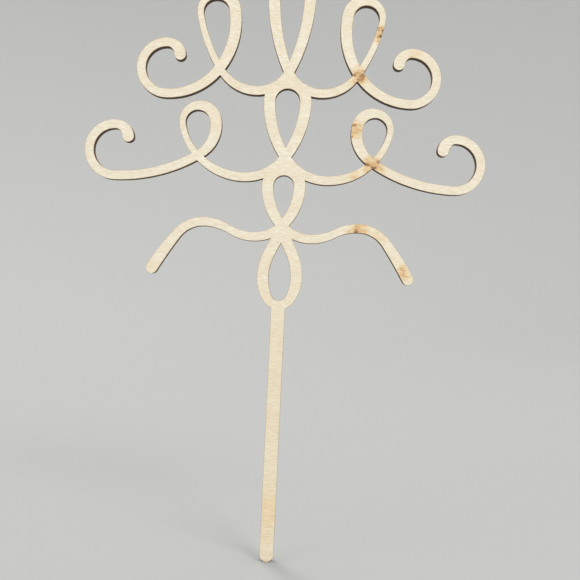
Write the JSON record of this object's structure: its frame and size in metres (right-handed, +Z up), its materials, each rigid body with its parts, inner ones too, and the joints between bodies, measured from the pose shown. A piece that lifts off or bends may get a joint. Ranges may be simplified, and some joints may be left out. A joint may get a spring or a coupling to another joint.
{
  "type": "cake topper",
  "caption": "Laser-cut birch plywood cake topper: a symmetric lace of looped thick-and-thin ribbons in tiers, on a flat round-tipped stake that pushes into the cake.",
  "frame": {"origin": "tip of the stake, midway across its width and through the sheet's thickness", "axes": "+Z up along the stake, +Y out of the front face, +X to the right as seen from the back at -Y"},
  "size_m": [0.15, 0.003, 0.222],
  "materials": {
    "birch_face": "matte",
    "birch_core": "matte"
  },
  "bodies": {
    "root": {"back_veneer": "birch_face", "core_veneer": "birch_core", "front_veneer": "birch_face"}
  },
  "joints": []
}
